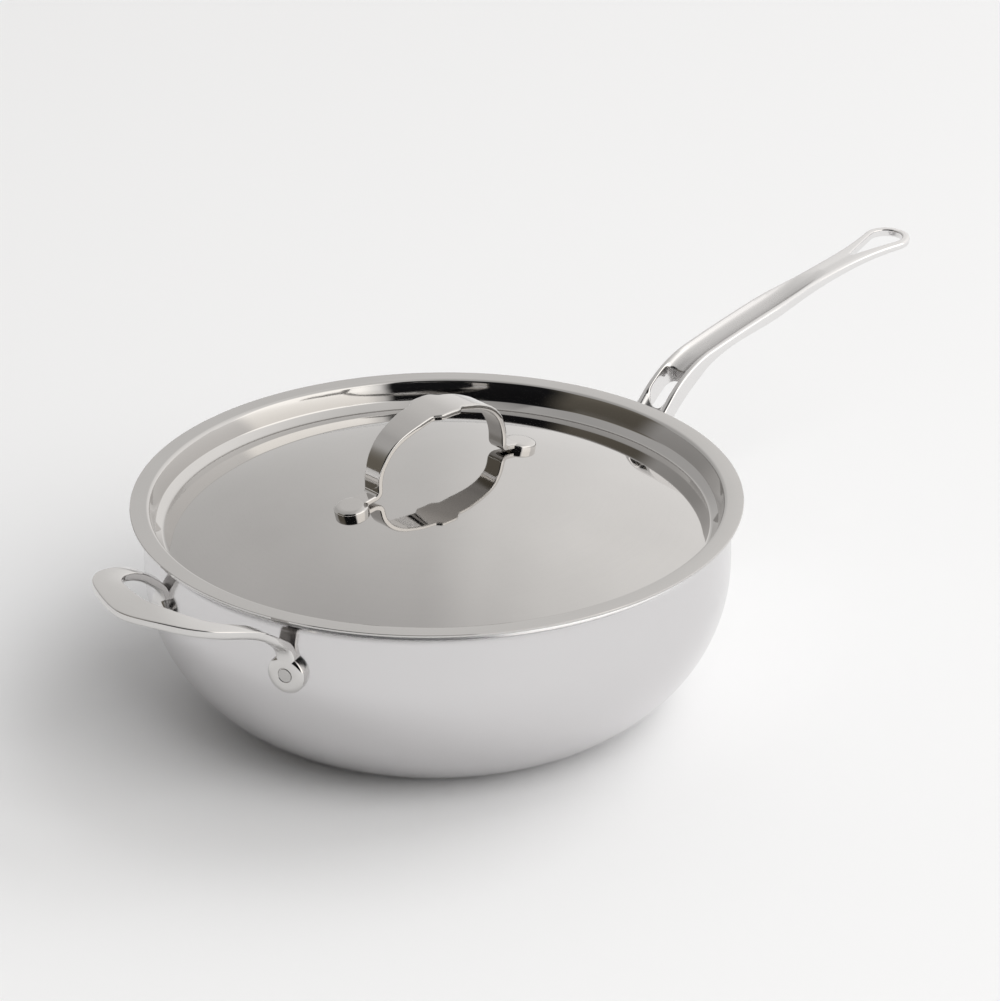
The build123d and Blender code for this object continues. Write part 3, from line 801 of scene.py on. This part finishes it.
def lid_line():
    """Upper face of the lid from its edge to its middle, as (radius, height).

    The dome's arc starts a little inside the valley, to leave room for its fillet.
    """
    edge_slope = asin(valley_radius / dome_curve)
    slopes = np.linspace(edge_slope * 0.975, 0, 60)
    dome = np.column_stack([dome_curve * np.sin(slopes), dome_centre + dome_curve * np.cos(slopes)])
    dome[-1, 0] = 0
    valley = (valley_radius, dome_centre + dome_curve * cos(edge_slope))
    walls = bent([(lid_radius, flange_top), (flange_inner, flange_top),
                  (ledge_outer, flange_top - ledge_depth), valley, dome[0]], lid_fillets)
    return np.vstack([walls, dome[1:]])


def shifted(line, reach):
    """A line moved square to itself, down and outwards here."""
    along = np.gradient(line, axis=0)
    along /= np.linalg.norm(along, axis=1)[:, None]
    return line + reach * np.column_stack([-along[:, 1], along[:, 0]])


upper = lid_line()
lower = shifted(upper, lid_sheet)
lower[-1, 0] = 0
lid_edge = np.array([(lid_radius, flange_top - lid_sheet + lid_edge_round),
                     (lid_radius, flange_top - lid_edge_round)])
upper[0, 0] = lower[0, 0] = lid_radius - lid_edge_round
lid = turned("lid_sheet", np.vstack([upper, lower[::-1], lid_edge]), 320)
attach(lid, "lid")
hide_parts("lid")
lid.data.materials.append(
    steel("mirror_polish", (0.6, 0.588, 0.576), 0.045, "round", 0.3, 0.6, 0.0))

# Lid handle: a strap of polished stainless steel, bent into an arch with two
# finger wings in its middle. It stands on two round pads that are spot-welded
# to the lid and follow the slope of its dome.
lid_turn = radians(-3.8)
strap_thickness = 0.003
pad_top = flange_top + 0.0130
strap_half_span = 0.0398
strap_height = 0.0339
strap_haunch = 0.024
strap_leg = 0.0025
strap_foot_bend = 0.0032
strap_pad_centre = 0.0542
pad_tilt = radians(9)
strap_edge = 0.0008
strap_fillet = 0.003
wing_half_width = 0.0118
arm_half_width = 0.0086
leg_half_width = 0.0062
foot_half_width = 0.0044
foot_corner = 0.0014
foot_dip = 0.00012
lid_pad_radius = 0.0084
lid_pad_height = 0.0044
lid_pad_edge = 0.0017
foot_level = -strap_thickness / 2
foot_run = (strap_pad_centre - strap_half_span
            - strap_foot_bend * (1 - sin(pad_tilt))) / cos(pad_tilt)
crown_rise = (strap_height - foot_level - strap_leg
              - strap_foot_bend * cos(pad_tilt) - foot_run * sin(pad_tilt))
crown_turn = 2 * atan2(crown_rise - strap_haunch, strap_half_span - strap_haunch)
crown_arc = strap_haunch + (strap_half_span - strap_haunch) / sin(crown_turn)


def strap_path():
    """Arc length, turn and place of the strap's centre line from its middle to a foot.

    The turn grows evenly along each arc, and the place is the sum of small
    steps in the direction of the turn.
    """
    lengths = np.array([crown_arc * crown_turn, strap_haunch * (pi / 2 - crown_turn), strap_leg,
                        strap_foot_bend * (pi / 2 - pad_tilt), foot_run])
    turns = np.array([crown_turn, pi / 2 - crown_turn, 0, pad_tilt - pi / 2, 0])
    marks = np.concatenate([[0], np.cumsum(lengths)])
    run = np.linspace(0, marks[-1], 4000)
    turn = np.interp(run, marks, np.concatenate([[0], np.cumsum(turns)]))
    step = np.diff(run)
    mean = (turn[1:] + turn[:-1]) / 2
    x = np.concatenate([[0], np.cumsum(step * np.cos(mean))])
    z = pad_top + strap_height - np.concatenate([[0], np.cumsum(step * np.sin(mean))])
    return run, turn, x, z


path_run, path_turn, path_x, path_z = strap_path()


def strap_surface(place, top, sunk):
    """The strap's faces: half a thickness off the centre line, square to it.

    The end of each foot dips a little, to lie under its pad's face.
    """
    run, side = np.abs(place[:, 0]), np.sign(place[:, 0])
    turn = np.interp(run, path_run, path_turn)
    off = (strap_thickness / 2 - sunk) * (1 if top else -1)
    dip = np.clip((run - (path_run[-1] - foot_run * 0.55)) / 0.003, 0, 1) * foot_dip
    x = np.interp(run, path_run, path_x) + off * np.sin(turn)
    z = np.interp(run, path_run, path_z) + off * np.cos(turn) - dip
    x = x * side
    y = place[:, 1]
    return np.column_stack([x * cos(lid_turn) - y * sin(lid_turn),
                            x * sin(lid_turn) + y * cos(lid_turn), z])


def strap_outline():
    """Half width against the place from above, taken onto the arc length, mirrored twice."""
    across = bent([(0, wing_half_width), (0.0056, wing_half_width),
                   (0.0090, arm_half_width), (0.0170, arm_half_width),
                   (0.0366, leg_half_width), (0.0430, foot_half_width),
                   (strap_pad_centre, foot_half_width)], [strap_fillet] * 5)
    run = np.append(path_run[:-1:10], path_run[-1])
    width = np.interp(np.interp(run, path_run, path_x), across[:, 0], across[:, 1])
    past = np.clip(run - (run[-1] - foot_corner), 0, foot_corner)
    width = width - foot_corner + np.sqrt(foot_corner ** 2 - past ** 2)
    quarter = np.column_stack([run, width])
    right = np.vstack([quarter * (1, -1), quarter[::-1]])
    left = right[::-1] * (-1, 1)
    return resampled(np.vstack([right, left]), 0.0006)


strap = slab("lid_strap", [strap_outline()], (strap_edge,), (strap_edge,), strap_surface,
             0.0008, 40)
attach(strap, "lid")
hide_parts("lid_handle")
strap_steel = steel("strap_polish", (0.63, 0.615, 0.6), 0.07,
                    (1400 * cos(lid_turn), 1400, 1400), 0.3, 0.5, 0.0)
strap.data.materials.append(strap_steel)

for side, sign in (("near", -1), ("far", 1)):
    # a disc in its own frame, tilted outwards about its middle and carried to its place
    line = disc_line(lid_pad_radius, -lid_pad_height, 0.0, lid_pad_edge)
    angle = np.arange(96) * 2 * pi / 96
    out, rise = line[:, :1] * np.cos(angle), line[:, 1:]
    along = sign * (strap_pad_centre + out * cos(pad_tilt) + rise * sin(pad_tilt))
    across = sign * line[:, :1] * np.sin(angle)
    points = np.stack([along * cos(lid_turn) - across * sin(lid_turn),
                       along * sin(lid_turn) + across * cos(lid_turn),
                       pad_top - out * sin(pad_tilt) + rise * cos(pad_tilt)], -1)
    pad = solid("lid_pad_" + side, points, grid_faces(len(line), 96, False, True).tolist())
    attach(pad, "lid")
    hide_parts("lid_handle")
    pad.data.materials.append(strap_steel)

# Floor: one large sheet of pale, matt card under the pan. It belongs to the
# studio and not to the pan.
floor_mesh = bpy.data.meshes.new("floor")
floor_reach = 6.0
floor_mesh.from_pydata([(x * floor_reach, y * floor_reach, 0)
                        for x, y in ((-1, -1), (1, -1), (1, 1), (-1, 1))], [], [(0, 1, 2, 3)])
floor = bpy.data.objects.new("floor", floor_mesh)
bpy.context.scene.collection.objects.link(floor)
card = bpy.data.materials.new("pale_card")
card.use_nodes = True
card_shader = card.node_tree.nodes["Principled BSDF"]
card_shader.inputs["Base Color"].default_value = (0.853, 0.858, 0.866, 1)
card_shader.inputs["Roughness"].default_value = 0.9
card_shader.inputs["Specular IOR Level"].default_value = 0.1
floor_mesh.materials.append(card)


# Room and lamps: a soft room, bright on the picture's right, with a black and
# a brown flag that the polished lid mirrors, one white card, and two wide lamps.
def studio():
    """The world: a ramp of light from left to right, with flags and a card in it.

    The ramp reads the direction's cosine with the picture's right, and falls a
    little towards the zenith. A flag's or card's mask is the product of two
    smooth steps, of the bearing and of the elevation. The camera itself sees
    a plain pale ground past the edge of the floor.
    """
    world = bpy.data.worlds.new("studio")
    bpy.context.scene.world = world
    world.use_nodes = True
    tree = world.node_tree
    tree.nodes.clear()
    look = node(tree, "TexCoord").outputs["Generated"]
    parts = node(tree, "SeparateXYZ", {}, Vector=look)
    height = node(tree, "Math", {"operation": "ARCSINE"}, i0=parts.outputs["Z"]).outputs[0]
    picture_right = (0.693, -0.721, 0)
    side = node(tree, "VectorMath", {"operation": "DOT_PRODUCT"}, i0=look,
                i1=picture_right).outputs["Value"]
    share = node(tree, "MapRange", {}, Value=side, From_Min=-1.0)
    ramp = node(tree, "ValToRGB", {}, Fac=share.outputs[0])
    ramp.color_ramp.interpolation = "EASE"
    bands = ramp.color_ramp.elements
    for place, level in ((0.20, 0.52), (0.33, 0.64), (0.475, 0.75), (0.545, 0.92),
                         (0.62, 1.0), (0.9, 1.12)):
        band = bands.new(place)
        band.color = (level, level * 0.985, level * 0.97, 1)
    bands.remove(bands[0])
    bands.remove(bands[-1])
    over = node(tree, "MapRange", {"interpolation_type": "SMOOTHSTEP"}, Value=height,
                From_Min=radians(38), From_Max=radians(80), To_Min=1.0, To_Max=0.78)
    sky = node(tree, "VectorMath", {"operation": "SCALE"}, i0=ramp.outputs[0],
               Scale=over.outputs[0]).outputs[0]
    # bearing and elevation of the middle, half width and half height, softness
    # of the sides and of the top, colour
    for bearing, elevation, wide, high, soft, soft_top, colour in (
            (203, 18, 42, 44, 3, 14, (0.010, 0.010, 0.011)),
            (148, 8, 24, 28, 8, 10, (0.16, 0.145, 0.12)),
            (281, 24, 30, 24, 5, 8, (1.6, 1.56, 1.5))):
        away = node(tree, "VectorRotate", {"rotation_type": "Z_AXIS"}, Vector=look,
                    Angle=-radians(bearing))
        turned_parts = node(tree, "SeparateXYZ", {}, Vector=away.outputs[0])
        turn = node(tree, "Math", {"operation": "ARCTAN2"}, i0=turned_parts.outputs["Y"],
                    i1=turned_parts.outputs["X"])
        off = node(tree, "Math", {"operation": "ABSOLUTE"}, i0=turn.outputs[0])
        across = smooth_step(tree, off.outputs[0], radians(wide + soft), radians(wide - soft))
        lift = node(tree, "Math", {"operation": "SUBTRACT"}, i0=height, i1=radians(elevation))
        rise = node(tree, "Math", {"operation": "ABSOLUTE"}, i0=lift.outputs[0])
        upright = smooth_step(tree, rise.outputs[0], radians(high + soft_top),
                              radians(high - soft_top))
        mask = node(tree, "Math", {"operation": "MULTIPLY"}, i0=across, i1=upright)
        sky = node(tree, "MixRGB", {}, Fac=mask.outputs[0], Color1=sky,
                   Color2=(*colour, 1)).outputs[0]
    seen = node(tree, "LightPath").outputs["Is Camera Ray"]
    sky = node(tree, "MixRGB", {}, Fac=seen, Color1=sky,
               Color2=(0.86, 0.86, 0.865, 1)).outputs[0]
    background = node(tree, "Background", {}, Color=sky, Strength=1.0)
    out = node(tree, "OutputWorld")
    tree.links.new(background.outputs[0], out.inputs["Surface"])


studio()


def soft_lamp(name, place, size, power):
    """A square lamp at a place, facing the pan's foot, that no gloss mirrors."""
    lamp = bpy.data.lights.new(name, "AREA")
    lamp.shape = "SQUARE"
    lamp.size = size
    lamp.energy = power
    holder = bpy.data.objects.new(name, lamp)
    holder.location = place
    holder.rotation_euler = (-Vector(place)).to_track_quat("-Z", "Y").to_euler()
    holder.visible_glossy = False
    bpy.context.scene.collection.objects.link(holder)


soft_lamp("key_right", (2.55, -0.83, 2.97), 2.4, 40)
soft_lamp("fill_front", (-0.4, -3.0, 2.8), 3.0, 60)

# Camera: where the photograph was taken from, with its lens.
camera = bpy.data.cameras.new("camera")
camera.lens = 154.4
camera.sensor_width = 36
camera.clip_end = 50
viewer = bpy.data.objects.new("camera", camera)
# columns: the picture's right, its up, the way back to the camera, and its place
viewer.matrix_world = Matrix(((0.69271657, 0.3145323, -0.64900939, -1.32427412),
                              (-0.72116384, 0.29191274, -0.62825924, -1.32427412),
                              (-0.00815372, 0.90324769, 0.42904211, 0.99094239),
                              (0, 0, 0, 1)))
bpy.context.scene.collection.objects.link(viewer)
bpy.context.scene.camera = viewer

bpy.context.scene.view_settings.view_transform = "Standard"
